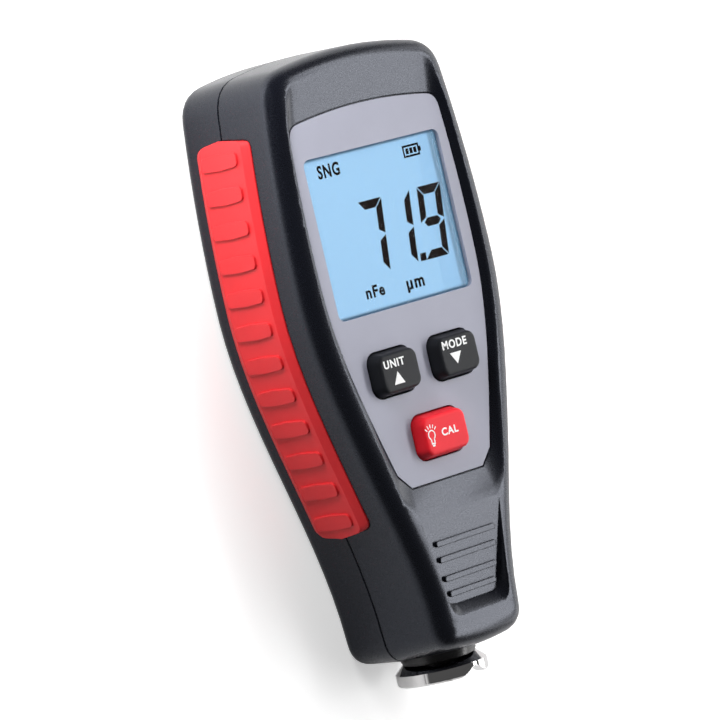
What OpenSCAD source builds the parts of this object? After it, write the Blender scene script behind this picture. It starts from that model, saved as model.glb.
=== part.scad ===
// Hand-held coating thickness gauge, lying on its back.
// X points to the gauge's right, Y to its top end and Z out of the display.

/* [Body] */
// Length of the two housing halves
body_l = 124.4; // [122:0.2:127]
// Largest width of the housing
body_w = 57.2; // [56:0.2:60]
// Width of the housing at its lower end
tail_w = 28.4; // [27.6:0.1:29]
// Depth of the rear half, from the back to the seam
rear_d = 12.2; // [12:0.1:13]
// Depth of the front half, from the seam to its crest
front_d = 15.3; // [15.1:0.1:16]
// How much each side draws in from the widest place to the top
top_taper = 4.1; // [3:0.1:4.4]
// Radius of the arched top edge
top_arch_r = 110; // [90:5:160]
// Radius of the arched bottom edge
bottom_arch_r = 80; // [60:5:120]
// Reach of the corner curves at the top
corner_r = 5.5; // [5:0.5:7]
// How far the front half leans in at its lower end
tail_lean = 1; // [0:0.1:1.4]
// How far the front half leans in at each side of the tail
tail_side_lean = 1.6; // [0.8:0.1:1.8]
// Radius of the front edge
edge_r = 3.8; // [3:0.1:3.8]
// Radius of the back edge
back_r = 2.5; // [2:0.1:3.2]
// Wall thickness of the housing
wall = 2.4; // [2.2:0.1:2.6]

/* [Front panel and display] */
// Depth of the recess that holds the panel
recess_d = 1.3; // [1:0.1:1.5]
// Thickness of the panel
panel_t = 0.8; // [0.6:0.1:0.8]
// Rim of the housing beside the panel at the panel's top
rim_top = 4.9; // [4.6:0.1:5.2]
// Rim of the housing beside the panel at the panel's bottom
rim_bottom = 7.1; // [6.6:0.1:7.4]
// Width of the panel beside the display's window
window_side = 2.4; // [2:0.1:3]
// Height of the display's window
window_h = 32.7; // [31:0.1:33]
// Distance from the top edge down to the middle of the window
window_drop = 37.1; // [37:0.1:37.6]
// Thickness of the display glass
glass_t = 1.8; // [1.6:0.1:2]

/* [Keys] */
// Width of the two dark keys
key_w = 12.4; // [11:0.1:13]
// Width of the red key
cal_key_w = 13.8; // [12:0.1:15]
// Height of every key along the body
key_h = 9; // [8:0.1:9.4]
// How far a key stands above the panel
key_rise = 2.6; // [2:0.1:3]
// How far a key travels when pressed
key_travel = 0.8; // [0.5:0.1:0.8]
// Distance between the middles of the two dark keys
key_pitch = 17.6; // [17.2:0.1:18]

/* [Side grips] */
// Width of a grip across the seam
grip_w = 15.4; // [14:0.2:16]
// Length of a grip along the body
grip_l = 81; // [78:0.5:82]
// How far a grip stands proud of the housing
grip_rise = 1; // [0.6:0.1:1.2]
// Number of raised bars on a grip
bar_count = 12; // [8:1:12]
// How far a bar stands above the grip
bar_rise = 0.5; // [0.3:0.1:0.8]

/* [Probe] */
// Radius of the chrome ring
ring_r = 9.5; // [9.2:0.1:9.6]
// How far the ring reaches beyond the housing
ring_reach = 5.1; // [4.8:0.1:5.4]
// Radius of the black neck above the ring
neck_r = 7.8; // [7.7:0.1:8.2]
// Radius of the stem that slides in the guide
stem_r = 6; // [5.6:0.1:6.2]
// How far the probe gives when pressed on a surface
probe_travel = 1.8; // [1:0.1:1.8]
// Depth of the V notches in the ring
notch_d = 1.9; // [1:0.1:2]

/* [Battery] */
// Diameter of a cell
cell_d = 10.5; // [10:0.1:10.5]
// Length of a cell
cell_l = 44.5; // [44:0.1:44.5]
// Thickness of the battery door
door_t = 1.8; // [1.6:0.1:1.8]
// How far the door slides before it lifts off
door_travel = 4; // [3:0.5:4]

/* [Fits] */
// Clearance between moving pieces
clear = 0.3; // [0.25:0.01:0.35]
// Clearance between seated pieces
seat = 0.1; // [0.05:0.01:0.15]
// Radial clearance of the sliding stem
run_fit = 0.05; // [0.03:0.01:0.08]

/* [Hidden] */
$fn = 48;

// Heights of the main planes above the back
z_seam = rear_d;
z_crest = rear_d + front_d;
z_panel = z_crest - recess_d;
z_seat = z_panel - panel_t;
z_roof = z_seat - glass_t;
diffuser_t = 3.2;
board_t = 1.6;
z_board_top = z_roof - diffuser_t;
z_board = z_board_top - board_t;
back_wall = 3.2;
z_axis = z_seam;

// Lengths along the body and across it keep their share of a body of the drawn size
drawn_l = 124.4;
drawn_w = 57.2;
function along(d) = d * body_l / drawn_l;
function across(d) = d * body_w / drawn_w;

// Places along the body
overall_l = body_l + ring_reach;
y_top = overall_l / 2;
y_bot = y_top - body_l;
y_win = y_top - along(window_drop);
y_wide = y_top - along(47);
y_tail = y_bot + along(3.6);
y_keys = y_win - along(28.6);
y_cal = y_win - along(43);
window_l = along(window_h);
panel_top_drop = along(12.1);
panel_l = along(77);
y_panel_top = y_top - panel_top_drop;
y_panel_bot = y_panel_top - panel_l;
panel_arch_r = 133;
panel_corner = 2.6;
panel_chamfer = 3.2;
panel_gap = 0.3;
draft = 1.2;
seam_half = 0.2;
seam_depth = 0.5;

// Colours as seen
black = [0.11, 0.12, 0.14];
grey = [0.66, 0.66, 0.70];
red = [0.85, 0.16, 0.18];
steel = [0.80, 0.80, 0.82];
brass_tone = [0.83, 0.72, 0.45];
board_green = [0.10, 0.38, 0.24];

// A step that starts and ends level
function smooth(t) = t <= 0 ? 0 : t >= 1 ? 1 : t * t * (3 - 2 * t);
function mix(a, b, t) = a + (b - a) * t;
function bezier(a, c, b, t) = a * (1 - t) * (1 - t) + c * 2 * t * (1 - t) + b * t * t;

// Half width of the housing at a place along the body
function half_w(y) = y > y_wide
    ? body_w / 2 - top_taper * pow((y - y_wide) / (y_top - y_wide), 2)
    : body_w / 2 - (body_w - tail_w) / 2 * smooth((y_wide - y) / (y_wide - y_tail));
function top_edge(x) = y_top - x * x / (2 * top_arch_r);
function bottom_edge(x) = y_bot + x * x / (2 * bottom_arch_r);

// Right half of the housing outline, from the top middle to the bottom middle
tail_corner = 5;
function side_point(y) = [half_w(y), y];
top_y = top_edge(half_w(y_top - 3));
tail_y = bottom_edge(half_w(y_bot + 2));
top_x = half_w(top_y);
tail_x = half_w(tail_y);
function outline_half() = concat(
    [for (i = [0:5]) let (x = (top_x - corner_r) * i / 6) [x, top_edge(x)]],
    [for (i = [0:5]) bezier([top_x - corner_r, top_edge(top_x - corner_r)], [top_x, top_y],
        side_point(top_y - corner_r), i / 6)],
    [for (i = [0:21]) side_point(mix(top_y - corner_r, tail_y + tail_corner, i / 22))],
    [for (i = [0:5]) bezier(side_point(tail_y + tail_corner), [tail_x, tail_y],
        [tail_x - tail_corner, bottom_edge(tail_x - tail_corner)], i / 6)],
    [for (i = [0:4]) let (x = (tail_x - tail_corner) * (1 - i / 4)) [x, bottom_edge(x)]]);

// A closed outline made from its right half
function closed(half) = concat(half, [for (i = [len(half) - 2:-1:1]) [-half[i].x, half[i].y]]);

// The outward direction at each point of a closed outline
function outward(pts, i) = let (n = len(pts), t = pts[(i + 1) % n] - pts[(i + n - 1) % n])
    [-t.y, t.x] / norm(t);
function inset(pts, d) = [for (i = [0:len(pts) - 1]) pts[i] - d * outward(pts, i)];
function at_height(pts, z) = [for (p = pts) [p.x, p.y, z]];

body_outline = closed(outline_half());

// A solid made of a stack of rings with the same number of points; caps lists the flat pieces of an end
module ring_stack(rings, caps = []) {
    n = len(rings[0]);
    last = len(rings) - 1;
    ends = len(caps) > 0 ? caps : [[for (i = [0:n - 1]) i]];
    sides = [for (k = [0:last - 1]) for (i = [0:n - 1]) for (half = [0, 1])
        let (j = (i + 1) % n)
        half == 0
            ? [k * n + i, k * n + j, (k + 1) * n + j]
            : [k * n + i, (k + 1) * n + j, (k + 1) * n + i]];
    first_end = [for (c = ends) [for (i = [len(c) - 1:-1:0]) c[i]]];
    last_end = [for (c = ends) [for (i = c) last * n + i]];
    polyhedron([for (r = rings) for (p = r) p], concat(first_end, sides, last_end));
}

// The tail leans in by a share of its full lean
tail_reach = along(40);
function lean_tail(pts, share) = [for (p = pts)
    let (lean = share * smooth((y_bot + tail_reach - p.y) / tail_reach))
    [p.x * (1 - lean * tail_side_lean / (tail_w / 2)), p.y + tail_lean * lean]];

// Outside of a housing half: drafted sides that roll over into a flat face
module shell_outside(z_from, z_to, r) {
    up = z_to > z_from ? 1 : -1;
    run = abs(z_to - z_from) - r;
    lean = run * tan(draft);
    levels = concat([[0, seam_depth], [seam_half, 0], [run, lean]],
        [for (a = [15:15:90]) [run + r * sin(a), lean + r * (1 - cos(a))]]);
    rings = [for (l = levels)
        at_height(lean_tail(inset(body_outline, l[1]), up > 0 ? l[0] / front_d : 0), z_from + up * l[0])];
    ring_stack(up > 0 ? rings : [for (k = [len(rings) - 1:-1:0]) rings[k]]);
}

module prism(z, h) translate([0, 0, z]) linear_extrude(h) children();

module rounded_rect(w, h, r) {
    square([w - 2 * r, h], center = true);
    square([w, h - 2 * r], center = true);
    for (x = [-1, 1], y = [-1, 1]) translate([x * (w / 2 - r), y * (h / 2 - r)]) circle(r);
}

// A rod along the body, from y1 to y2, on the probe's axis
module rod(r, y1, y2) translate([0, y2, z_axis]) rotate([90, 0, 0]) cylinder(r = r, h = y2 - y1);

// Panel outline
function panel_edge(y) = half_w(y) - mix(rim_top, rim_bottom, (y_panel_top - y) / panel_l);
function panel_top(x) = y_panel_top - x * x / (2 * panel_arch_r);
panel_shoulder = panel_top(panel_edge(y_panel_top - 2));
panel_top_x = panel_edge(panel_shoulder);
panel_arch_n = 6;
panel_corner_n = 5;
panel_side_n = 18;
function panel_half() = concat(
    [for (i = [0:panel_arch_n - 1])
        let (x = (panel_top_x - panel_corner) * i / panel_arch_n)
        [x, panel_top(x)]],
    [for (i = [0:panel_corner_n])
        bezier([panel_top_x - panel_corner, panel_top(panel_top_x - panel_corner)],
            [panel_top_x, panel_shoulder],
            [panel_edge(panel_shoulder - panel_corner), panel_shoulder - panel_corner],
            i / panel_corner_n)],
    [for (i = [1:panel_side_n])
        let (y = mix(panel_shoulder - panel_corner, y_panel_bot + panel_chamfer, i / panel_side_n))
        [panel_edge(y), y]],
    [[panel_edge(y_panel_bot + panel_chamfer) - panel_chamfer, y_panel_bot], [0, y_panel_bot]]);
panel_outline = closed(panel_half());
window_w = 2 * (panel_edge(y_win + window_l / 2) - window_side);

// Recess round the panel: steep walls beside it, long slopes above and below it and a rolled lip
wall_run = 0.9;
forehead_run = 8;
ramp_run = 5.5;
panel_ramp_n = 4;
function topness(i) = i < panel_arch_n ? 1 : 1 - smooth((i - panel_arch_n) / panel_corner_n);
function bottomness(i) =
    smooth((i - panel_arch_n - panel_corner_n - panel_side_n + panel_ramp_n) / (panel_ramp_n + 1));
function spread_half(share) = let (foot = panel_half()) [for (i = [0:len(foot) - 1])
    let (t = topness(i), b = bottomness(i))
    foot[i] + share * [foot[i].x == 0 ? 0 : wall_run * (1 - t), forehead_run * t - ramp_run * b]];
// Levels of the recess: share of the slope's run, share of its height and how far the lip rolls out
recess_levels = [[0, 0, 0], [0.78, 0.78, 0], [0.92, 0.91, 0.14], [1, 0.975, 0.5], [1, 1.08, 0.9]];
module panel_recess() {
    ring_stack([for (l = recess_levels)
        at_height(inset(closed(spread_half(l[0])), -panel_gap - l[2]), z_panel + l[1] * recess_d)]);
}

// Thumb dish below the panel, deeper towards the lower end, with four ribs on its floor
dish_top = y_win - along(59);
dish_l = along(17.8);
dish_d = 2;
dish_w_top = 23.6;
dish_w_low = 17.2;
dish_corner = 3.6;
dish_slope = atan(dish_d / dish_l);
function dish_z(y) = z_crest - dish_d * (dish_top - y) / dish_l;
function dish_half(grow, end) = let (x = dish_w_low / 2 + grow, y = dish_top - dish_l - end) concat(
    [[0, dish_top], [dish_w_top / 2, dish_top]],
    [for (i = [0:4]) bezier([x, y + dish_corner + end / 2], [x, y], [x - dish_corner, y], i / 4)],
    [[0, y]]);
// Levels of the dish: share of its height, how far its sides open and how far its end slopes out
dish_levels = [[0, 0, 0], [0.7, 0.25, 1.7], [0.93, 0.5, 2.5], [1, 0.75, 3]];
dish_over = 0.1;
dish_floor = closed(dish_half(0, 0));
dish_caps = [for (i = [1:len(dish_floor) - 2]) [0, i, i + 1]];
module thumb_dish() {
    ring_stack([for (l = dish_levels) let (ring = closed(dish_half(l[1], l[2])))
        [for (i = [0:len(ring) - 1])
            [ring[i].x, ring[i].y, mix(dish_z(dish_floor[i].y), z_crest + dish_over, l[0])]]], dish_caps);
}
rib_drops = [for (d = [5.1, 8.4, 12.4, 15.6]) along(d)];
rib_lengths = [17.6, 16.8, 15.4, 13.8];
module thumb_ribs() {
    for (i = [0:3]) translate([0, dish_top - rib_drops[i], dish_z(dish_top - rib_drops[i]) - 0.5])
        rotate([dish_slope, 0, 0]) linear_extrude(1.1) rounded_rect(rib_lengths[i], 1.15, 0.5);
}

// Side grips: a bevelled band that follows the side, with round corners, peaked ends and raised bars
grip_top = y_win + along(23);
grip_run = along(grip_l);
grip_low = grip_top - grip_run;
grip_depth = 1.1;
grip_bevel = 1.7;
grip_peak = 0.8;
grip_corner = 1.6;
grip_steps = 26;
corner_turns = [0, 30, 60, 90];
function lean_at(y) = atan((half_w(y - 0.5) - half_w(y + 0.5)));
grip_profile = [[0, -1], [-1, -1], [-1, 0], [-1, 1], [0, 1], [1, 1], [1, 0], [1, -1]];
grip_caps = [[0, 1, 2, 3, 4], [4, 5, 6, 7, 0]];
function grip_ring(y, side, grow, narrow) = [for (p = grip_profile)
    let (half = grip_w / 2 + grow - narrow,
        z = p.x * (half - (p.y > 0 ? grip_bevel : 0)),
        out = p.y < 0 ? -grip_depth - grow : p.y == 0 ? grow : grip_rise + (grow > 0 ? 1 : 0),
        ahead = side * (1 - abs(z) / half) * grip_peak,
        a = lean_at(y))
    [half_w(y) + out * cos(a), y + ahead + out * sin(a), z_seam + z]];
module grip_band(grow) {
    r = grip_corner + grow;
    low = grip_low - grow;
    high = grip_top + grow;
    low_end = [for (a = corner_turns) grip_ring(low + r * (1 - cos(a)), -1, grow, r * (1 - sin(a)))];
    run = [for (i = [1:grip_steps - 1]) grip_ring(mix(low + r, high - r, i / grip_steps), 0, grow, 0)];
    high_end = [for (a = corner_turns) grip_ring(high - r * (1 - sin(a)), 1, grow, r * (1 - cos(a)))];
    ring_stack(concat(low_end, run, high_end), grip_caps);
}
bar_l = grip_w - 2 * grip_bevel - 1.8;
bar_w = 2.9;
bar_bow = 0.25;
bar_corner = 1;
bar_back = 0.3;
bar_margin_low = 2.9;
bar_margin_high = 3.4;
module bar_outline() translate([bar_back, 0]) {
    rounded_rect(bar_l, bar_w, bar_corner);
    x = bar_l / 2 - bar_corner;
    y = bar_w / 2;
    polygon([[-x, -y], [0, -y - bar_bow], [x, -y], [x, y], [0, y + bar_bow], [-x, y]]);
}
module grip_bars() {
    pitch = (grip_run - bar_margin_low - bar_margin_high) / (bar_count - 1);
    for (i = [0:bar_count - 1]) let (y = grip_low + bar_margin_low + i * pitch)
        translate([half_w(y), y, z_seam]) rotate([0, 0, lean_at(y)]) rotate([0, 90, 0])
            linear_extrude(grip_rise + bar_rise) bar_outline();
}
module right_grip_shape() {
    grip_band(0);
    grip_bars();
}
module left_grip() color(red) mirror([1, 0, 0]) right_grip_shape();
module right_grip() color(red) right_grip_shape();
module grip_pockets() for (m = [0, 1]) mirror([m, 0, 0]) grip_band(seat);

// Places of the screws
post_r = 2.8;
post_side = 7.2;
board_post_r = 2.2;
glass_margin = 1.2;
post_high = y_top - along(8.4);
post_low = y_win - along(59.6);
board_post_high = y_win + window_l / 2 + glass_margin + board_post_r + 1;
board_post_low = y_win - along(51.4);
function pair(x, y) = [[-x, y], [x, y]];
housing_posts = concat(pair(half_w(post_high) - post_side, post_high),
    pair(half_w(post_low) - post_side, post_low));
board_posts = concat(pair(across(12), board_post_high), pair(across(9), board_post_low));
screw_r = 1;
head_r = 2.1;
head_h = 1.6;
z_head = 4;
board_head_h = 1.2;

// Inside of the housing
module cavity_outline() polygon(inset(body_outline, wall + 0.5));
guide_r = 8.5;
guide_low = y_bot + 5;
guide_l = 10;
cradle_w = 2 * (half_w(guide_low) - wall + 0.6);
module cradle(z, h) {
    difference() {
        intersection() {
            translate([-cradle_w / 2, guide_low + 1, z]) cube([cradle_w, guide_l - 2, h]);
            prism(z, h) polygon(inset(body_outline, wall));
        }
        rod(guide_r + seat, guide_low - 1, guide_low + guide_l + 1);
    }
}

// Sizes of the key openings
function key_width(i) = i == 2 ? cal_key_w : key_w;
function key_place(i) = i == 2 ? [0, y_cal] : [(i - 0.5) * key_pitch, y_keys];
key_corner = 2.4;
module key_openings() for (i = [0:2]) translate(key_place(i))
    rounded_rect(key_width(i) + 2 * clear, key_h + 2 * clear, key_corner + clear);

// Display glass, with a ledge at its lower edge for the contact strip
glass_ledge = 2.6;
glass_w = window_w + 2 * glass_margin;
glass_h = window_l + 2 * glass_margin + glass_ledge;
y_glass = y_win - glass_ledge / 2;

module front_housing() color(black) {
    difference() {
        union() {
            difference() {
                shell_outside(z_seam, z_crest, edge_r);
                prism(z_seam - 1, z_roof - z_seam + 1) cavity_outline();
                panel_recess();
                thumb_dish();
                grip_pockets();
            }
            for (p = housing_posts) translate([p.x, p.y, z_seam])
                cylinder(r = post_r, h = z_roof - z_seam + 0.5);
            for (p = board_posts) translate([p.x, p.y, z_board_top])
                cylinder(r = board_post_r, h = diffuser_t + 0.5);
            cradle(z_seam, z_roof - z_seam + 0.5);
        }
        prism(z_seat, panel_t + 3) polygon(inset(panel_outline, -panel_gap));
        translate([0, y_glass]) prism(z_roof - 1, glass_t + 2)
            square([glass_w + 2 * seat, glass_h + 2 * seat], center = true);
        prism(z_roof - 1, glass_t + 2) key_openings();
        for (p = housing_posts) translate([p.x, p.y, z_seam - 1]) cylinder(r = screw_r + 0.05, h = 9);
        for (p = board_posts) translate([p.x, p.y, z_board_top - 1]) cylinder(r = screw_r + 0.05, h = 3.6);
        rod(neck_hole_r, y_bot - 1, y_bot + 4.4);
    }
    thumb_ribs();
}

// Battery compartment
box_w = 2 * cell_d + 1.4;
box_l = cell_l + 7.6;
box_wall = 1.2;
y_box = y_win - along(9);
z_cell = door_t + 0.7 + cell_d / 2;
box_h = z_seam - 1.2;
door_w = box_w + 1.6;
door_l = box_l + 1.6;
door_z = 0.25;
lip = 1;
lip_t = 0.85;

module rear_housing() color(black) {
    difference() {
        union() {
            difference() {
                shell_outside(z_seam, 0, back_r);
                prism(back_wall, z_seam) cavity_outline();
                grip_pockets();
            }
            for (p = housing_posts) translate([p.x, p.y, 1]) cylinder(r = post_r + 0.6, h = z_seam - 1);
            cradle(1, z_seam - 1);
            translate([-box_w / 2 - box_wall, y_box - box_l / 2 - box_wall, 1])
                cube([box_w + 2 * box_wall, box_l + 2 * box_wall, box_h - 1]);
            translate([-7, spring_top, 1]) cube([14, 1.8, z_seam + 4.4]);
        }
        translate([-box_w / 2, y_box - box_l / 2, -1]) cube([box_w, box_l, z_seam + 2]);
        door_opening();
        for (p = housing_posts) translate([p.x, p.y, -1]) cylinder(r = head_r + 0.25, h = z_head + 1);
        for (p = housing_posts) translate([p.x, p.y, -1]) cylinder(r = screw_r + 0.2, h = z_seam + 2);
        rod(neck_hole_r, y_bot - 1, y_bot + 4.4);
    }
}

// The door's opening has a lip over each side and room below it to slide into
module door_opening() {
    y1 = y_box - door_l / 2 - clear - door_travel;
    y2 = y_box + door_l / 2 + clear;
    ceiling = door_z + door_t + clear / 2;
    translate([-door_w / 2 - clear, y1, -1]) cube([door_w + 2 * clear, y2 - y1, ceiling + 1]);
    translate([-door_w / 2 - clear - lip, y1, lip_t])
        cube([door_w + 2 * (clear + lip), y2 - y1, ceiling - lip_t]);
}

// Door with a tongue on each side and grip ridges at its upper end
ridge_count = 5;
module battery_door() color(black) {
    difference() {
        translate([-door_w / 2, y_box - door_l / 2, door_z]) cube([door_w, door_l, door_t]);
        for (i = [0:ridge_count - 1])
            translate([-5, y_box + door_l / 2 - 5 - i * 1.8, door_z - 1]) cube([10, 0.9, 1.4]);
    }
    translate([-door_w / 2 - lip, y_box - door_l / 2, lip_t + clear])
        cube([door_w + 2 * lip, door_l, door_z + door_t - lip_t - clear]);
}

module front_panel() color(grey) difference() {
    prism(z_seat, panel_t) polygon(panel_outline);
    translate([0, y_win]) prism(z_seat - 1, panel_t + 2) rounded_rect(window_w, window_l, 1.6);
    prism(z_seat - 1, panel_t + 2) key_openings();
}

module display_window() color([0.75, 0.88, 0.98, 0.4])
    translate([0, y_win]) prism(z_seat, panel_t - 0.3)
        rounded_rect(window_w - 2 * seat, window_l - 2 * seat, 1.5);

module lcd_glass() color([0.67, 0.84, 0.97])
    translate([0, y_glass]) prism(z_roof, glass_t) square([glass_w, glass_h], center = true);

module backlight_diffuser() color([0.95, 0.96, 0.98])
    translate([0, y_win]) prism(z_board_top, diffuser_t)
        square([glass_w - 1, window_l + 2 * glass_margin - 0.6], center = true);

strip_w = 2;
module contact_strip() color([0.35, 0.35, 0.38])
    translate([0, y_glass - glass_h / 2 + strip_w / 2 + 0.4]) prism(z_board_top, diffuser_t)
        square([glass_w - 4, strip_w], center = true);

// Board that follows the housing's sides, with holes for its screws
board_rim = 6;
board_top = y_top - along(13.5);
board_low = y_win - along(54.4);
module board_outline() polygon(closed(concat([[0, board_top]],
    [for (i = [0:16]) let (y = mix(board_top, board_low, i / 16)) [half_w(y) - board_rim, y]],
    [[0, board_low]])));
module main_board() color(board_green) difference() {
    prism(z_board, board_t) board_outline();
    for (p = board_posts) translate([p.x, p.y, z_board - 1]) cylinder(r = screw_r + 0.15, h = board_t + 2);
}

module controller_chip() color([0.16, 0.16, 0.17])
    translate([0, y_win - along(30)]) prism(z_board - 1.4, 1.4) square([12, 12], center = true);

mat_t = 0.9;
dome_r = 2.5;
module keypad_mat() color([0.25, 0.25, 0.27]) difference() {
    prism(z_board_top, mat_t) translate([0, (y_keys + y_cal) / 2])
        square([28, key_h + y_keys - y_cal], center = true);
    for (i = [0:2]) translate(key_place(i)) prism(z_board_top - 1, mat_t + 2) circle(dome_r + 0.8);
}

// A key: a cap with rolled edges, a flange below the housing and a stem over its dome
flange = 0.9;
flange_t = 0.8;
flange_drop = 0.2;
dome_t = 0.35;
key_edge = 0.9;
key_lean = 0.5;
corner_steps = 6;
function rect_ring(w, h, r, z) = [for (q = [[1, 1, 0], [1, -1, -90], [-1, -1, -180], [-1, 1, -270]])
    for (k = [0:corner_steps]) let (a = 90 + q[2] - 90 * k / corner_steps)
    [q[0] * (w / 2 - r) + r * cos(a), q[1] * (h / 2 - r) + r * sin(a), z]];
module key(i) {
    w = key_width(i);
    z_top = z_panel + key_rise;
    z_flange = z_roof - flange_drop - flange_t;
    z_stem = z_board_top + dome_t + key_travel + 0.1;
    levels = concat([[z_flange + flange_t / 2, 0], [z_panel, 0], [z_top - key_edge, key_lean]],
        [for (a = [22.5:22.5:90])
            [z_top - key_edge + key_edge * sin(a), key_lean + key_edge * (1 - cos(a))]]);
    translate(key_place(i)) {
        ring_stack([for (l = levels) rect_ring(w - 2 * l[1], key_h - 2 * l[1], key_corner - l[1], l[0])]);
        prism(z_flange, flange_t) rounded_rect(w + 2 * flange, key_h + 2 * flange, key_corner);
        translate([0, 0, z_stem]) cylinder(r = 1.8, h = z_flange - z_stem + 0.2);
    }
}
module key_unit() color([0.24, 0.25, 0.27]) key(0);
module key_mode() color([0.24, 0.25, 0.27]) key(1);
module key_cal() color([0.95, 0.25, 0.28]) key(2);
module dome(i) color(steel) translate(key_place(i)) prism(z_board_top, dome_t) circle(dome_r);
module dome_unit() dome(0);
module dome_mode() dome(1);
module dome_cal() dome(2);

// Probe: barrel, ring, coil and tip slide together in the guide, against the spring
ring_low = y_bot - ring_reach;
rim_h = 2.5;
cone_h = 1.75;
cone_r = 7.6;
bore_r = 6.9;
ring_top = ring_low + rim_h + cone_h;
pressed_share = (ring_reach - rim_h - probe_travel) / cone_h;
neck_hole_r = max(neck_r, mix(ring_r, cone_r, pressed_share)) + clear + 0.1;
neck_top = guide_low - probe_travel - 0.5;
collar_low = guide_low + guide_l + 0.2;
collar_h = 1.5;
collar_r = 7.4;
spring_low = collar_low + collar_h;
spring_top = spring_low + 10;
coil_r = 4.2;
tip_r = 1.5;
tip_low = ring_low + 0.5;
coil_top = guide_low + 5;

module probe_guide() color([0.30, 0.31, 0.33]) difference() {
    rod(guide_r, guide_low, guide_low + guide_l);
    rod(stem_r + run_fit, guide_low - 1, guide_low + guide_l + 1);
}

module probe_barrel() color(black) difference() {
    union() {
        rod(neck_r, ring_top + 0.5, neck_top);
        rod(cone_r, ring_top, ring_top + 0.6);
        rod(bore_r - seat / 2, ring_low + 1.6, ring_top + 0.2);
        rod(stem_r, neck_top - 0.5, collar_low + 0.5);
        rod(collar_r, collar_low, spring_low);
        rod(3.4, spring_low - 0.5, spring_low + 4);
    }
    rod(coil_r + seat, ring_low, coil_top + seat);
}

module probe_ring() color(steel) difference() {
    translate([0, ring_low, z_axis]) rotate([-90, 0, 0]) rotate_extrude()
        polygon([[bore_r, 0.4], [bore_r + 0.3, 0], [ring_r - 0.4, 0], [ring_r, 0.4],
            [ring_r, rim_h], [cone_r, rim_h + cone_h], [bore_r, rim_h + cone_h]]);
    translate([0, ring_low, z_axis]) linear_extrude(3 * ring_r, center = true)
        polygon([[-3.5, -0.01], [0, notch_d], [3.5, -0.01], [3.5, -1], [-3.5, -1]]);
}

module probe_coil() color(brass_tone) difference() {
    rod(coil_r, ring_low + 1.7, coil_top);
    rod(tip_r + seat / 2, ring_low, coil_top - 2);
}

module probe_tip() color(steel) {
    rod(tip_r, tip_low + 1, coil_top - 2.1);
    translate([0, tip_low + 1, z_axis]) rotate([90, 0, 0]) cylinder(r1 = tip_r, r2 = 0.6, h = 1);
}

// A coil spring along the body: its wire is a ring swept along a helix with closed ends
module coil(r, wire_r, y1, y2, turns) {
    steps = 20 * turns;
    sides = 6;
    rings = [for (k = [0:steps]) let (a = 360 * k / 20, y = mix(y1 + wire_r, y2 - wire_r, k / steps))
        [for (j = [0:sides - 1]) let (b = -360 * j / sides)
            [(r + wire_r * cos(b)) * cos(a), y + wire_r * sin(b), (r + wire_r * cos(b)) * sin(a)]]];
    ring_stack(rings);
}
module probe_spring() color(steel) translate([0, 0, z_axis]) coil(4.6, 0.45, spring_low, spring_top, 7);

// Cells side by side, with a bridge at the top and a contact for each at the bottom
module cell(turned) {
    nub = 1;
    y1 = y_box - cell_l / 2;
    translate([0, turned ? 2 * y_box : 0, 0]) mirror([0, turned ? 1 : 0, 0])
        translate([0, y1, z_cell]) rotate([-90, 0, 0]) {
            cylinder(r = cell_d / 2, h = cell_l - nub);
            cylinder(r = 1.9, h = cell_l);
        }
}
cell_x = cell_d / 2 + 0.3;
module cell_left() color([0.16, 0.33, 0.62]) translate([-cell_x, 0, 0]) cell(false);
module cell_right() color([0.16, 0.33, 0.62]) translate([cell_x, 0, 0]) cell(true);

contact_t = 0.4;
contact_w = 8.6;
end_gap = (box_l - cell_l) / 2;
module contact_plate(x, w, y)
    translate([x - w / 2, y, z_cell - contact_w / 2]) cube([w, contact_t, contact_w]);
module contact_bump(x, y1, y2)
    translate([x, y2, z_cell]) rotate([90, 0, 0]) cylinder(r = 1.6, h = y2 - y1);
y_upper = y_box + box_l / 2 - contact_t;
y_lower = y_box - box_l / 2;

module battery_bridge() color(steel) {
    contact_plate(0, 2 * cell_x + contact_w, y_upper);
    contact_bump(-cell_x, y_box + cell_l / 2, y_upper + 0.1);
    translate([cell_x, 0, z_cell]) coil(2.6, 0.35, y_box + cell_l / 2, y_upper + 0.3, 3);
}
module battery_contact_plus() color(steel) {
    contact_plate(cell_x, contact_w, y_lower);
    contact_bump(cell_x, y_lower + contact_t - 0.1, y_box - cell_l / 2);
}
module battery_contact_minus() color(steel) {
    contact_plate(-cell_x, contact_w, y_lower);
    translate([-cell_x, 0, z_cell]) coil(2.6, 0.35, y_lower + contact_t - 0.3, y_box - cell_l / 2, 3);
}

// Screws
module screw(at, z, r, h, shank_l) color(steel) translate([at.x, at.y, z]) difference() {
    union() {
        cylinder(r = r, h = h);
        cylinder(r = screw_r, h = h + shank_l);
    }
    for (a = [0, 90]) rotate(a)
        translate([-0.6 * r, -0.14 * r, -0.1]) cube([1.2 * r, 0.28 * r, 0.1 + 0.5 * h]);
}
module housing_screw(i) screw(housing_posts[i], z_head - head_h, head_r, head_h, 14);
module housing_screw_top_left() housing_screw(0);
module housing_screw_top_right() housing_screw(1);
module housing_screw_low_left() housing_screw(2);
module housing_screw_low_right() housing_screw(3);

module board_screw(i) screw(board_posts[i], z_board - board_head_h, 1.9, board_head_h, board_t + 2.2);
module board_screw_top_left() board_screw(0);
module board_screw_top_right() board_screw(1);
module board_screw_low_left() board_screw(2);
module board_screw_low_right() board_screw(3);

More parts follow.
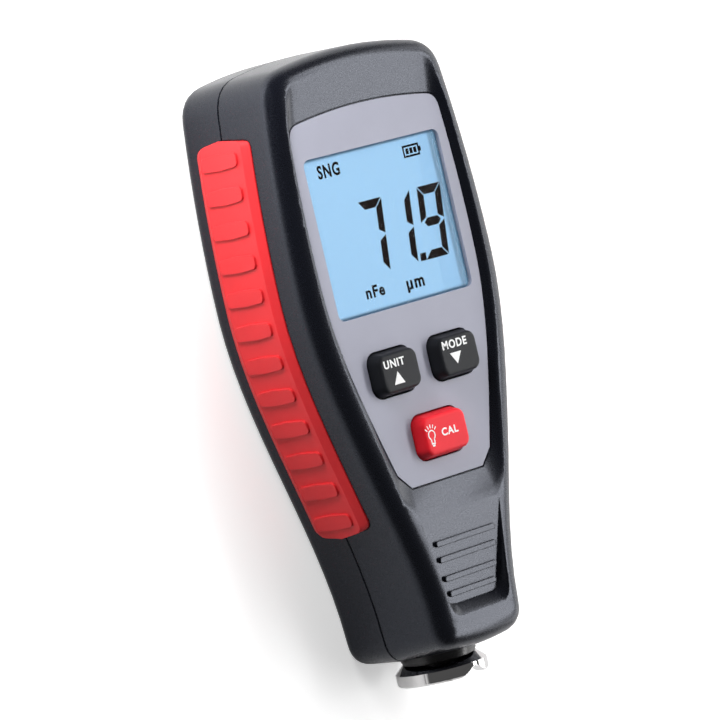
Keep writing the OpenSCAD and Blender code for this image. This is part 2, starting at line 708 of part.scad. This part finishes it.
front_housing();
rear_housing();
battery_door();
left_grip();
right_grip();
front_panel();
display_window();
lcd_glass();
backlight_diffuser();
contact_strip();
main_board();
controller_chip();
keypad_mat();
key_unit();
key_mode();
key_cal();
dome_unit();
dome_mode();
dome_cal();
probe_guide();
probe_barrel();
probe_ring();
probe_coil();
probe_tip();
probe_spring();
cell_left();
cell_right();
battery_bridge();
battery_contact_plus();
battery_contact_minus();
housing_screw_top_left();
housing_screw_top_right();
housing_screw_low_left();
housing_screw_low_right();
board_screw_top_left();
board_screw_top_right();
board_screw_low_left();
board_screw_low_right();
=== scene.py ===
import math

import bmesh
import bpy
from mathutils import Matrix, Vector


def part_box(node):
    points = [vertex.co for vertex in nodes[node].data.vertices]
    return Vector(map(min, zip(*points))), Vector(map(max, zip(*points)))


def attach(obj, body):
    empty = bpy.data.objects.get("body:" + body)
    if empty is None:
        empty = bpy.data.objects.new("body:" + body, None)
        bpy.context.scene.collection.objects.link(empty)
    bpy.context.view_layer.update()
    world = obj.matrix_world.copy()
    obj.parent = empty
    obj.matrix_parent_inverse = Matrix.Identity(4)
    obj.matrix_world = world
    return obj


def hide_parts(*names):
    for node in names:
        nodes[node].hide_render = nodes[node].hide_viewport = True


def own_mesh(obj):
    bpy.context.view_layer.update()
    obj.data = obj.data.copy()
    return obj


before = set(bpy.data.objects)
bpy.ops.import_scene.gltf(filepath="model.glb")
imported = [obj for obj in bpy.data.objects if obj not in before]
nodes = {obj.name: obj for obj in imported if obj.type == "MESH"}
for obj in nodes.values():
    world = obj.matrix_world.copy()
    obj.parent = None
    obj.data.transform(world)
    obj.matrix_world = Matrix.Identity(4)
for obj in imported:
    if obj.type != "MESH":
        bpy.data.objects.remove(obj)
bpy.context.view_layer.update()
MM = 0.001

# Places read from the solids, in metres
LCD_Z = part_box("lcd_glass")[1].z
WINDOW_LOW, WINDOW_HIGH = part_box("display_window")
WINDOW_MID = (WINDOW_LOW + WINDOW_HIGH) / 2


# Materials

NOISE_LOW = 0.3        # nearly all values of a noise lie between these two
NOISE_HIGH = 0.7
ROUGH_SPREAD = 0.1     # how far the grain changes the roughness, as a share
BUMP_STRENGTH = 0.6
WHITE = (1, 1, 1, 1)


def add_node(tree, kind, inputs=None, **settings):
    """A node of any tree, with its settings and input values."""
    made = tree.nodes.new(kind)
    for name, value in settings.items():
        setattr(made, name, value)
    for name, value in (inputs or {}).items():
        made.inputs[name].default_value = value
    return made


def opaque(color):
    """A colour with full cover."""
    return (*color, 1.0)


def shaded(color, share):
    """A colour made darker or lighter by a share."""
    return opaque([min(1.0, c * share) for c in color])


def noise(tree, coords, size_mm, detail=3.0):
    """A noise whose features are about that many millimetres across."""
    made = add_node(tree, "ShaderNodeTexNoise", {"Scale": 1 / (size_mm * MM), "Detail": detail})
    tree.links.new(coords, made.inputs["Vector"])
    return made.outputs["Fac"]


def ranged(tree, value, low, high):
    """A noise value spread from low to high."""
    made = add_node(tree, "ShaderNodeMapRange",
        {"From Min": NOISE_LOW, "From Max": NOISE_HIGH, "To Min": low, "To Max": high})
    tree.links.new(value, made.inputs["Value"])
    return made.outputs["Result"]


def two_tone(tree, value, first, second):
    """A colour that goes from the first to the second with a value."""
    made = add_node(tree, "ShaderNodeMix", data_type="RGBA")
    made.inputs["A"].default_value = first
    made.inputs["B"].default_value = second
    tree.links.new(value, made.inputs["Factor"])
    return made.outputs["Result"]


def finish(name, color, rough, spread=0.12, patch_mm=9.0, grain_mm=0.3, grain_depth_mm=0.01,
           edge_mm=0.0, **sockets):
    """A moulded or plated surface: soft patches of tone, fine grain and softened edges."""
    material = bpy.data.materials.new(name)
    material.use_nodes = True
    tree = material.node_tree
    shader = tree.nodes["Principled BSDF"]
    coords = add_node(tree, "ShaderNodeTexCoord").outputs["Object"]
    patches = noise(tree, coords, patch_mm)
    grain = noise(tree, coords, grain_mm, detail=2.0)
    tone = two_tone(tree, ranged(tree, patches, 0, 1), shaded(color, 1 - spread), shaded(color, 1 + spread))
    tree.links.new(tone, shader.inputs["Base Color"])
    roughness = ranged(tree, grain, rough * (1 - ROUGH_SPREAD), rough * (1 + ROUGH_SPREAD))
    tree.links.new(roughness, shader.inputs["Roughness"])
    bump = add_node(tree, "ShaderNodeBump", {"Strength": BUMP_STRENGTH, "Distance": grain_depth_mm * MM})
    tree.links.new(grain, bump.inputs["Height"])
    if edge_mm > 0:
        bevel = add_node(tree, "ShaderNodeBevel", {"Radius": edge_mm * MM}, samples=6)
        tree.links.new(bevel.outputs["Normal"], bump.inputs["Normal"])
    tree.links.new(bump.outputs["Normal"], shader.inputs["Normal"])
    for socket, value in sockets.items():
        shader.inputs[socket.replace("_", " ")].default_value = value
    return material


def display_with_painted_edge_shade(name, light, dark, edge_mm, rough=0.3, glow=0.7, base_share=0.4):
    """A backlit display that darkens towards the edges of its window: partly the backlight's uneven
    fall-off, and partly painted shade that stands in for the inner shadow of the window's recess.
    """
    material = bpy.data.materials.new(name)
    material.use_nodes = True
    tree = material.node_tree
    shader = tree.nodes["Principled BSDF"]
    coords = add_node(tree, "ShaderNodeTexCoord").outputs["Object"]
    parts = add_node(tree, "ShaderNodeSeparateXYZ")
    tree.links.new(coords, parts.inputs["Vector"])
    share = None
    # Painted shade: both the glow and the base colour go from the light to the dark colour over edge_mm
    # inside each edge of the window
    edges = [("X", WINDOW_LOW.x, 1), ("X", WINDOW_HIGH.x, -1),
             ("Y", WINDOW_HIGH.y, -1), ("Y", WINDOW_LOW.y, 1)]
    for axis, edge, inward in edges:
        painted_shade_fade = add_node(tree, "ShaderNodeMapRange",
            {"From Min": edge, "From Max": edge + inward * edge_mm * MM}, interpolation_type="SMOOTHSTEP")
        tree.links.new(parts.outputs[axis], painted_shade_fade.inputs["Value"])
        if share is None:
            share = painted_shade_fade.outputs["Result"]
            continue
        product = add_node(tree, "ShaderNodeMath", operation="MULTIPLY")
        tree.links.new(share, product.inputs[0])
        tree.links.new(painted_shade_fade.outputs["Result"], product.inputs[1])
        share = product.outputs["Value"]
    tone = two_tone(tree, share, opaque(dark), opaque(light))
    tree.links.new(tone, shader.inputs["Emission Color"])
    shader.inputs["Emission Strength"].default_value = glow
    base = two_tone(tree, share, shaded(dark, base_share), shaded(light, base_share))
    tree.links.new(base, shader.inputs["Base Color"])
    shader.inputs["Roughness"].default_value = rough
    shader.inputs["Specular IOR Level"].default_value = 0.0
    return material


BLACK = (0.004, 0.0046, 0.0075)
COOL = (0.8, 0.85, 1.0, 1.0)   # tint of the housing's reflections
housing_mat = finish("housing_plastic", BLACK, rough=0.28, spread=0.1, patch_mm=14.0, grain_mm=0.22,
    grain_depth_mm=0.005, edge_mm=0.35, Specular_IOR_Level=0.5, Specular_Tint=COOL)
grip_mat = finish("grip_rubber", (0.70, 0.022, 0.028), rough=0.5, spread=0.05, patch_mm=12.0,
    grain_mm=0.25, grain_depth_mm=0.01, edge_mm=0.25)
panel_mat = finish("panel_paint", (0.295, 0.30, 0.375), rough=0.45, spread=0.03, patch_mm=10.0,
    grain_mm=0.15, grain_depth_mm=0.004, edge_mm=0.12)
dark_key_mat = finish("dark_key_rubber", (0.013, 0.014, 0.017), rough=0.42, spread=0.06, patch_mm=5.0,
    grain_mm=0.2, grain_depth_mm=0.006, edge_mm=0.2, Specular_IOR_Level=0.14)
red_key_mat = finish("red_key_rubber", (0.86, 0.018, 0.032), rough=0.55, spread=0.04, patch_mm=5.0,
    grain_mm=0.2, grain_depth_mm=0.006, edge_mm=0.2, Specular_IOR_Level=0.25)
probe_mat = finish("probe_plastic", (0.008, 0.008, 0.009), rough=0.3, spread=0.1, patch_mm=6.0,
    grain_mm=0.3, grain_depth_mm=0.006, edge_mm=0.2)
chrome_mat = finish("chrome_plate", (0.66, 0.65, 0.65), rough=0.07, spread=0.02, patch_mm=6.0,
    grain_mm=0.6, grain_depth_mm=0.0015, edge_mm=0.1, Metallic=1.0)
steel_mat = finish("bright_steel", (0.6, 0.6, 0.62), rough=0.28, spread=0.08, patch_mm=3.0,
    grain_mm=0.2, grain_depth_mm=0.004, edge_mm=0.08, Metallic=1.0)
contact_mat = finish("contact_plate", (0.7, 0.68, 0.62), rough=0.3, spread=0.06, patch_mm=3.0,
    grain_mm=0.2, grain_depth_mm=0.004, edge_mm=0.05, Metallic=1.0)
copper_mat = finish("coil_wire", (0.62, 0.25, 0.09), rough=0.35, spread=0.1, patch_mm=2.0,
    grain_mm=0.15, grain_depth_mm=0.01, edge_mm=0.05, Metallic=1.0)
diffuser_mat = finish("light_diffuser", (0.86, 0.88, 0.9), rough=0.4, spread=0.02, patch_mm=8.0,
    grain_mm=0.3, grain_depth_mm=0.004)
rubber_mat = finish("contact_rubber", (0.05, 0.05, 0.054), rough=0.7, spread=0.1, patch_mm=4.0,
    grain_mm=0.3, grain_depth_mm=0.01)
board_mat = finish("board_lacquer", (0.012, 0.13, 0.06), rough=0.35, spread=0.15, patch_mm=4.0,
    grain_mm=0.5, grain_depth_mm=0.006)
chip_mat = finish("chip_resin", (0.018, 0.018, 0.02), rough=0.5, spread=0.1, patch_mm=3.0, grain_mm=0.2,
    grain_depth_mm=0.01, edge_mm=0.1)
cell_mat = finish("cell_sleeve", (0.05, 0.12, 0.34), rough=0.3, spread=0.06, patch_mm=6.0, grain_mm=0.5,
    grain_depth_mm=0.003, edge_mm=0.2)
white_mat = finish("white_print", (0.95, 0.95, 0.95), rough=0.6, spread=0.03, patch_mm=2.0,
    grain_mm=0.1, grain_depth_mm=0.002, Specular_IOR_Level=0.1)
ink_mat = finish("display_ink", (0.012, 0.008, 0.007), rough=0.6, spread=0.1, patch_mm=2.0,
    grain_mm=0.1, grain_depth_mm=0.001, Specular_IOR_Level=0.0)
pane_mat = finish("clear_pane", (0.02, 0.03, 0.04), rough=0.06, spread=0.02, patch_mm=20.0,
    grain_mm=2.0, grain_depth_mm=0.00003, edge_mm=0.0, Alpha=0.05, Specular_IOR_Level=0.2)
# The dark colour is painted shade along the window's edges; the light colour is the backlit display's own
# glow
lcd_mat = display_with_painted_edge_shade("backlit_display", (0.40, 0.67, 0.93), (0.06, 0.13, 0.22), edge_mm=0.75)


# Smoothing of the solids: welded facets, soft edges and even normals

def chain(tree, *made):
    """Links the geometry of each node to the next."""
    for first, second in zip(made, made[1:]):
        tree.links.new(first.outputs["Geometry"], second.inputs["Geometry"])


def geometry_group(name):
    """An empty geometry tree with its input and output nodes."""
    tree = bpy.data.node_groups.new(name, "GeometryNodeTree")
    tree.interface.new_socket("Geometry", in_out="INPUT", socket_type="NodeSocketGeometry")
    tree.interface.new_socket("Geometry", in_out="OUTPUT", socket_type="NodeSocketGeometry")
    return tree, tree.nodes.new("NodeGroupInput"), tree.nodes.new("NodeGroupOutput")


WELD_MM = 0.002    # corners nearer than this are one


def weld_group():
    """Joins the corners of touching facets and drops their stored normals."""
    tree, start, end = geometry_group("weld_facets")
    merge = add_node(tree, "GeometryNodeMergeByDistance", {"Distance": WELD_MM * MM})
    drop = add_node(tree, "GeometryNodeRemoveAttribute", {"Name": "custom_normal"})
    chain(tree, start, merge, drop, end)
    return tree


def smooth_group(name, angle_deg):
    """Smooth faces, with an edge kept sharp where it bends more than the angle."""
    tree, start, end = geometry_group(name)
    faces = add_node(tree, "GeometryNodeSetShadeSmooth", {"Shade Smooth": True}, domain="FACE")
    edges = add_node(tree, "GeometryNodeSetShadeSmooth", domain="EDGE")
    angle = tree.nodes.new("GeometryNodeInputMeshEdgeAngle")
    compare = add_node(tree, "FunctionNodeCompare", operation="LESS_THAN")
    compare.inputs["B"].default_value = math.radians(angle_deg)
    tree.links.new(angle.outputs["Unsigned Angle"], compare.inputs["A"])
    tree.links.new(compare.outputs["Result"], edges.inputs["Shade Smooth"])
    chain(tree, start, faces, edges, end)
    return tree


SHARP_DEG = 26.0   # edges that bend more than this stay sharp
WELD = weld_group()
SMOOTH = smooth_group("smooth_by_angle", SHARP_DEG)


def smooth(obj, bevel_mm=0.0):
    """Gives a faceted solid the look of its smooth original."""
    obj.modifiers.new("weld", "NODES").node_group = WELD
    if bevel_mm > 0:
        bevel = obj.modifiers.new("soft_edges", "BEVEL")
        bevel.width = bevel_mm * MM
        bevel.segments = 3
        bevel.limit_method = "ANGLE"
        bevel.angle_limit = math.radians(SHARP_DEG)
    obj.modifiers.new("smooth", "NODES").node_group = SMOOTH
    weighted = obj.modifiers.new("even_normals", "WEIGHTED_NORMAL")
    weighted.keep_sharp = True


# Materials of the solids; contacts have a plated finish and all other pieces are steel
DRESS = {
    "front_housing": housing_mat, "rear_housing": housing_mat, "battery_door": housing_mat,
    "left_grip": grip_mat, "right_grip": grip_mat, "front_panel": panel_mat,
    "display_window": pane_mat, "lcd_glass": lcd_mat, "backlight_diffuser": diffuser_mat,
    "contact_strip": rubber_mat, "keypad_mat": rubber_mat, "main_board": board_mat,
    "controller_chip": chip_mat, "key_unit": dark_key_mat, "key_mode": dark_key_mat,
    "key_cal": red_key_mat, "probe_guide": probe_mat, "probe_barrel": probe_mat,
    "probe_ring": chrome_mat, "probe_coil": copper_mat, "cell_left": cell_mat, "cell_right": cell_mat,
}
CONTACTS = ("dome_", "battery_bridge", "battery_contact")
BEVELS_MM = {"left_grip": 0.3, "right_grip": 0.3}
for name, obj in nodes.items():
    material = DRESS.get(name) or (contact_mat if name.startswith(CONTACTS) else steel_mat)
    obj.data.materials.clear()
    obj.data.materials.append(material)
    smooth(obj, BEVELS_MM.get(name, 0.0))


# New pieces

def add_piece(name, mesh, material, body):
    """An object in the scene with one material, which rides on a body."""
    mesh.materials.clear()
    mesh.materials.append(material)
    obj = bpy.data.objects.new(name, mesh)
    bpy.context.scene.collection.objects.link(obj)
    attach(obj, body)
    return obj


# Probe spring: a coil of wire in the place of the solid spring

def coil_mesh(name, middle, radius, wire_r, low_y, high_y, turns):
    """A wire swept along a helix about the gauge's length, in metres."""
    turn_steps, sides = 24, 10
    steps = turn_steps * turns
    mesh = bpy.data.meshes.new(name)
    shape = bmesh.new()
    rings = []
    for step in range(steps + 1):
        turn = math.tau * step / turn_steps
        y = low_y + wire_r + (high_y - low_y - 2 * wire_r) * step / steps
        ring = []
        for side in range(sides):
            round_wire = math.tau * side / sides
            reach = radius + wire_r * math.cos(round_wire)
            place = (middle.x + reach * math.cos(turn), y + wire_r * math.sin(round_wire),
                     middle.z + reach * math.sin(turn))
            ring.append(shape.verts.new(place))
        rings.append(ring)
    for first, second in zip(rings, rings[1:]):
        for side in range(sides):
            after = (side + 1) % sides
            shape.faces.new((first[side], first[after], second[after], second[side]))
    shape.faces.new(rings[0])
    shape.faces.new(rings[-1])
    bmesh.ops.recalc_face_normals(shape, faces=shape.faces[:])
    for face in shape.faces:
        face.smooth = len(face.verts) == 4
    shape.to_mesh(mesh)
    shape.free()
    return mesh


def probe_spring():
    """The coil that pushes the probe out, in the place of the solid spring."""
    low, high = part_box("probe_spring")
    middle = (low + high) / 2
    wire_r = 0.45 * MM
    coil_r = (high.x - low.x) / 2 - wire_r
    mesh = coil_mesh("spring_coil", middle, coil_r, wire_r, low.y, high.y, turns=7)
    obj = add_piece("spring_coil", mesh, steel_mat, "gauge")
    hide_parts("probe_spring")
    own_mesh(obj)


probe_spring()


# Flat marks: prints on the keys and signs on the display

MARK_T = 0.03   # thickness of ink, in millimetres


def raise_faces(shape):
    """Gives flat faces the thickness of a mark."""
    grown = bmesh.ops.extrude_face_region(shape, geom=shape.faces[:])
    raised = [v for v in grown["geom"] if isinstance(v, bmesh.types.BMVert)]
    bmesh.ops.translate(shape, verts=raised, vec=(0, 0, MARK_T * MM))
    bmesh.ops.recalc_face_normals(shape, faces=shape.faces[:])
    for face in shape.faces:
        face.smooth = False


def flat_piece(name, polygons, z, material, body):
    """A thin piece made of flat polygons, in millimetres, standing on height z in metres."""
    mesh = bpy.data.meshes.new(name)
    shape = bmesh.new()
    for points in polygons:
        shape.faces.new([shape.verts.new((x * MM, y * MM, z)) for x, y in points])
    raise_faces(shape)
    shape.to_mesh(mesh)
    shape.free()
    return add_piece(name, mesh, material, body)


def word_piece(name, words, centre, size, z, material, body, bold=0.029, spacing=1.16):
    """A word as a thin mesh that fills a box of that size, in millimetres."""
    curve = bpy.data.curves.new(name, "FONT")
    curve.body = words
    curve.offset = bold
    curve.space_character = spacing
    curve.resolution_u = 4
    source = bpy.data.objects.new(name + "_source", curve)
    bpy.context.scene.collection.objects.link(source)
    bpy.context.view_layer.update()
    mesh = bpy.data.meshes.new_from_object(source.evaluated_get(bpy.context.evaluated_depsgraph_get()))
    bpy.data.objects.remove(source)
    bpy.data.curves.remove(curve)
    xs = [v.co.x for v in mesh.vertices]
    ys = [v.co.y for v in mesh.vertices]
    middle_x, fit_x = (max(xs) + min(xs)) / 2, size[0] / (max(xs) - min(xs))
    middle_y, fit_y = (max(ys) + min(ys)) / 2, size[1] / (max(ys) - min(ys))
    for v in mesh.vertices:
        v.co = ((centre[0] + (v.co.x - middle_x) * fit_x) * MM,
                (centre[1] + (v.co.y - middle_y) * fit_y) * MM, z)
    shape = bmesh.new()
    shape.from_mesh(mesh)
    bmesh.ops.remove_doubles(shape, verts=shape.verts[:], dist=1e-7)
    raise_faces(shape)
    shape.to_mesh(mesh)
    shape.free()
    mesh.name = name
    return add_piece(name, mesh, material, body)


def box_points(x0, y0, x1, y1):
    """The corners of an upright box."""
    return [(x0, y0), (x1, y0), (x1, y1), (x0, y1)]


def window_place(x, y):
    """A place on the display, in millimetres from the window's middle."""
    return x + WINDOW_MID.x / MM, y + WINDOW_MID.y / MM


# Digits on the display, in millimetres
DIGIT_W = 6.9
DIGIT_H = 14.7
STROKE = 1.75
GAP = 0.16          # each stroke ends this short of the corner
SLANT = 0.135       # lean to the right for each millimetre of height
STROKE_TIP = 0.55   # how far a side stroke's inner corner stands off the middle, as a share of STROKE
DIGIT_LOW = -9.0
SEGMENTS = {7: "abc", 1: "bc", 9: "abcdfg"}


def segment_points():
    """The seven strokes of a digit, as polygons in its own box."""
    w, h, s, g = DIGIT_W, DIGIT_H, STROKE, GAP
    m = h / 2
    right_high = [(w, h - g), (w, m + g), (w - s, m + s * STROKE_TIP + g), (w - s, h - s - g)]
    top = [(g, h), (w - g, h), (w - s - g, h - s), (s + g, h - s)]
    middle = [(s / 2 + g, m), (s + g, m + s / 2), (w - s - g, m + s / 2), (w - s / 2 - g, m),
              (w - s - g, m - s / 2), (s + g, m - s / 2)]

    def mirrored(points, across, down):
        return [(w - x if across else x, h - y if down else y) for x, y in points]

    return {
        "a": top,
        "b": right_high,
        "c": mirrored(right_high, False, True),
        "d": mirrored(top, False, True),
        "e": mirrored(right_high, True, True),
        "f": mirrored(right_high, True, False),
        "g": middle,
    }


def digit_polygons(number, right):
    """A digit whose upper right corner is at that place across the window."""
    polygons = []
    strokes = segment_points()
    for letter in SEGMENTS[number]:
        polygons.append([window_place(right - DIGIT_W + x - (DIGIT_H - y) * SLANT, DIGIT_LOW + y)
                         for x, y in strokes[letter]])
    return polygons


INK_Z = LCD_Z + 0.01 * MM
DIGITS = [(7, 0.3), (1, 8.6), (9, 17.8)]   # each with the place of its right side
POINT_CORNERS = [(7.4, -8.95), (9.1, -8.95), (9.3, -7.4), (7.6, -7.4)]
for number, right in DIGITS:
    flat_piece(f"digit_{number}", digit_polygons(number, right), INK_Z, ink_mat, "gauge")
point_polygon = [window_place(*corner) for corner in POINT_CORNERS]
flat_piece("decimal_point", [point_polygon], INK_Z, ink_mat, "gauge")


def battery_polygons(x, y, w, h, line, bars):
    """A battery sign: a frame, a nub on its right end and level bars."""
    nub_gap, nub_w, nub_low, nub_high = 0.02, 0.5, 0.3, 0.7
    bar_inset, bars_left, bars_spare, bar_share = 0.25, 0.4, 0.5, 0.74
    polygons = [box_points(x, y, x + w, y + line), box_points(x, y + h - line, x + w, y + h),
                box_points(x, y + line, x + line, y + h - line),
                box_points(x + w - line, y + line, x + w, y + h - line),
                box_points(x + w + nub_gap, y + h * nub_low, x + w + nub_w, y + h * nub_high)]
    pitch = (w - 2 * line - bars_spare) / bars
    bar_low, bar_high = y + line + bar_inset, y + h - line - bar_inset
    for i in range(bars):
        left = x + line + bars_left + i * pitch
        polygons.append(box_points(left, bar_low, left + pitch * bar_share, bar_high))
    return [[window_place(*p) for p in points] for points in polygons]


battery = battery_polygons(x=9.4, y=11.95, w=4.8, h=2.5, line=0.42, bars=3)
flat_piece("battery_sign", battery, INK_Z, ink_mat, "gauge")

# Words on the display: name, letters, middle and size in millimetres
WORDS = [("mode_word", "SNG", (-12.5, 13.35), (6.3, 2.75)),
         ("kind_word", "nFe", (-7.35, -12.2), (5.4, 2.5)),
         ("unit_word", "µm", (4.4, -13.2), (5.2, 2.5))]
DISPLAY_BOLD = 0.032
for name, words, place, size in WORDS:
    word_piece(name, words, window_place(*place), size, INK_Z, ink_mat, "gauge", bold=DISPLAY_BOLD)


PRINT_LIFT_MM = 0.005


def key_top(name):
    """The middle of a key's top in millimetres, and its height in metres."""
    low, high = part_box(name)
    middle = (low + high) / 2
    return middle.x / MM, middle.y / MM, high.z + PRINT_LIFT_MM * MM


def triangle(centre_x, base_y, half_base, height):
    """An arrow sign; a height below zero points it down."""
    return [(centre_x - half_base, base_y), (centre_x + half_base, base_y), (centre_x, base_y + height)]


def on_key(name, points):
    """Points measured from the middle of a key's top."""
    x, y, _ = key_top(name)
    return [(x + px, y + py) for px, py in points]


def key_word(name, words, place, size):
    """A word on a key, its middle measured from the middle of the key's top."""
    x, y, z = key_top(name)
    word_piece(name + "_word", words, (x + place[0], y + place[1]), size, z, white_mat, name)


def key_sign(name, sign, polygons):
    """A sign on a key, its polygons measured from the middle of the key's top."""
    placed = [on_key(name, points) for points in polygons]
    flat_piece(f"{name}_{sign}", placed, key_top(name)[2], white_mat, name)


ARROW_UP = triangle(centre_x=-1.0, base_y=-2.45, half_base=1.55, height=2.5)
ARROW_DOWN = triangle(centre_x=-1.2, base_y=0.45, half_base=1.65, height=-2.35)
key_word("key_unit", "UNIT", place=(-1.4, 1.85), size=(6.0, 1.65))
key_sign("key_unit", "arrow", [ARROW_UP])
key_word("key_mode", "MODE", place=(-0.95, 2.25), size=(7.2, 1.75))
key_sign("key_mode", "arrow", [ARROW_DOWN])
key_word("key_cal", "CAL", place=(0.95, 0.15), size=(4.8, 1.6))


def ring_polygons(centre, radius, line, start_deg, end_deg, steps):
    """Part of a flat ring, as four-sided pieces."""
    def point(r, i):
        a = math.radians(start_deg + (end_deg - start_deg) * i / steps)
        return centre[0] + r * math.cos(a), centre[1] + r * math.sin(a)
    return [[point(radius, i), point(radius, i + 1), point(radius - line, i + 1), point(radius - line, i)]
            for i in range(steps)]


def lamp_polygons():
    """A lamp sign: a round bulb with a neck, a foot and rays above it."""
    bulb = (-4.4, 0.25)
    neck_left = [(-4.98, -1.3), (-4.72, -1.3), (-4.72, -0.55), (-4.98, -0.62)]
    neck_right = [(-4.08, -1.3), (-3.82, -1.3), (-3.82, -0.62), (-4.08, -0.55)]
    collar = box_points(-4.98, -1.62, -3.82, -1.34)
    foot = [(-4.7, -2.1), (-4.1, -2.1), (-3.95, -1.72), (-4.85, -1.72)]
    polygons = ring_polygons(bulb, radius=1.05, line=0.26, start_deg=-58, end_deg=238, steps=22)
    polygons += [neck_left, neck_right, collar, foot]
    ray_from, ray_to, ray_half, ray_step_deg = 1.4, 2.15, 0.12, 24
    for turn in range(-2, 3):
        a = math.radians(90 + turn * ray_step_deg)
        out = Vector((math.cos(a), math.sin(a)))
        side = Vector((-out.y, out.x)) * ray_half
        inner = Vector(bulb) + out * ray_from
        outer = Vector(bulb) + out * ray_to
        polygons.append([tuple(inner - side), tuple(inner + side), tuple(outer + side), tuple(outer - side)])
    return polygons


key_sign("key_cal", "lamp", lamp_polygons())


# Floor, light and camera

# Light of their own that the floor and the sky show to each kind of ray
FLOOR_GLOW = {"Is Camera Ray": 0.45, "Is Glossy Ray": 0.12, "Is Transmission Ray": 0.45}
SKY_GLOW = {"Is Camera Ray": 1.0, "Is Glossy Ray": 0.1, "Is Transmission Ray": 1.0}
PAPER = (0.93, 0.93, 0.93, 1)
FLOOR_HALF = 6.0       # metres
FLOOR_DROP_MM = 0.1


def stronger(tree, first, second):
    """The higher of two values."""
    made = add_node(tree, "ShaderNodeMath", operation="MAXIMUM")
    tree.links.new(first, made.inputs[0])
    tree.links.new(second, made.inputs[1])
    return made.outputs["Value"]


def glow_for_rays(tree, levels):
    """The level that is set for the kind of ray that meets a surface."""
    rays = add_node(tree, "ShaderNodeLightPath")
    glow = None
    for kind, strength in levels.items():
        level = add_node(tree, "ShaderNodeMath", operation="MULTIPLY")
        level.inputs[1].default_value = strength
        tree.links.new(rays.outputs[kind], level.inputs[0])
        value = level.outputs["Value"]
        glow = value if glow is None else stronger(tree, glow, value)
    return glow


def floor_material():
    """White paper, with some light of its own for the camera and for reflections."""
    material = bpy.data.materials.new("floor_paper")
    material.use_nodes = True
    tree = material.node_tree
    shader = tree.nodes["Principled BSDF"]
    shader.inputs["Base Color"].default_value = PAPER
    shader.inputs["Roughness"].default_value = 0.9
    shader.inputs["Specular IOR Level"].default_value = 0.0
    shader.inputs["Emission Color"].default_value = WHITE
    tree.links.new(glow_for_rays(tree, FLOOR_GLOW), shader.inputs["Emission Strength"])
    return material


def floor():
    """A wide sheet just under the gauge."""
    corners = box_points(-FLOOR_HALF, -FLOOR_HALF, FLOOR_HALF, FLOOR_HALF)
    mesh = bpy.data.meshes.new("floor")
    mesh.from_pydata([(x, y, 0) for x, y in corners], [], [(0, 1, 2, 3)])
    mesh.materials.append(floor_material())
    obj = bpy.data.objects.new("floor", mesh)
    obj.location.z = -FLOOR_DROP_MM * MM
    bpy.context.scene.collection.objects.link(obj)


def soft_box(name, place_mm, size_mm, watts, mirrored=True, aim_mm=(0, 0, 0)):
    """A rectangular lamp that faces its aim; one that isn't mirrored has no image in glossy faces."""
    lamp = bpy.data.lights.new(name, "AREA")
    lamp.shape = "RECTANGLE"
    lamp.size, lamp.size_y = size_mm[0] * MM, size_mm[1] * MM
    lamp.energy = watts
    obj = bpy.data.objects.new(name, lamp)
    obj.location = Vector(place_mm) * MM
    obj.rotation_mode = "QUATERNION"
    obj.rotation_quaternion = (Vector(place_mm) - Vector(aim_mm)).to_track_quat("Z", "Y")
    obj.visible_camera = False
    obj.visible_glossy = mirrored
    bpy.context.scene.collection.objects.link(obj)


def studio_world(low_level, high_level, band):
    """Bright up to the horizon, fading to dim over a band above it, apart from what the rays add."""
    world = bpy.data.worlds.new("studio")
    world.use_nodes = True
    tree = world.node_tree
    background = tree.nodes["Background"]
    background.inputs["Color"].default_value = WHITE
    coords = add_node(tree, "ShaderNodeTexCoord").outputs["Generated"]
    parts = add_node(tree, "ShaderNodeSeparateXYZ")
    tree.links.new(coords, parts.inputs["Vector"])
    level = add_node(tree, "ShaderNodeMapRange",
        {"From Min": 0.0, "From Max": band, "To Min": low_level, "To Max": high_level})
    tree.links.new(parts.outputs["Z"], level.inputs["Value"])
    strength = stronger(tree, level.outputs["Result"], glow_for_rays(tree, SKY_GLOW))
    tree.links.new(strength, background.inputs["Strength"])
    bpy.context.scene.world = world


def photo_camera():
    """The photo's camera: 45 degrees to the display's left, turned a little and far off."""
    turn, lift, roll = math.radians(45.0), 0.0576, -0.22941
    aim = Vector((0, 27.65, 25.75))   # lengths here are in millimetres
    distance, shift_x, shift_y = 1000.0, 5.476, 27.107
    back = Vector((-math.sin(turn) * math.cos(lift), math.sin(lift), math.cos(turn) * math.cos(lift)))
    level_right = Vector((math.cos(turn), 0, math.sin(turn)))
    level_up = back.cross(level_right)
    right = math.cos(roll) * level_right + math.sin(roll) * level_up
    up = -math.sin(roll) * level_right + math.cos(roll) * level_up
    place = aim + distance * back - shift_x * right - shift_y * up
    data = bpy.data.cameras.new("photo_camera")
    data.lens = 250
    data.sensor_width = 36
    data.clip_start = 0.01
    data.clip_end = 50
    obj = bpy.data.objects.new("photo_camera", data)
    rotation = Matrix((right, up, back)).transposed().to_4x4()
    obj.matrix_world = Matrix.Translation(place * MM) @ rotation
    bpy.context.scene.collection.objects.link(obj)
    bpy.context.scene.camera = obj


floor()
# The strip and the low lamp show in the satin housing; the others only light it
soft_box("right_strip", place_mm=(640, -40, 630), size_mm=(1400, 150), watts=6.8)
soft_box("right_low", place_mm=(880, -40, 270), size_mm=(1400, 430), watts=4.0)
soft_box("top_lamp", place_mm=(150, 170, 380), size_mm=(250, 250), watts=0.68, mirrored=False)
soft_box("left_lamp", place_mm=(-150, 210, 60), size_mm=(100, 90), watts=0.42, mirrored=False)
# A pool of light on the floor, which the left side reflects
soft_box("floor_lamp", place_mm=(-95, 95, 70), size_mm=(60, 60), watts=0.14, mirrored=False,
    aim_mm=(-95, 95, 0))
studio_world(low_level=1.0, high_level=0.05, band=0.14)
photo_camera()
bpy.context.scene.view_settings.view_transform = "Standard"
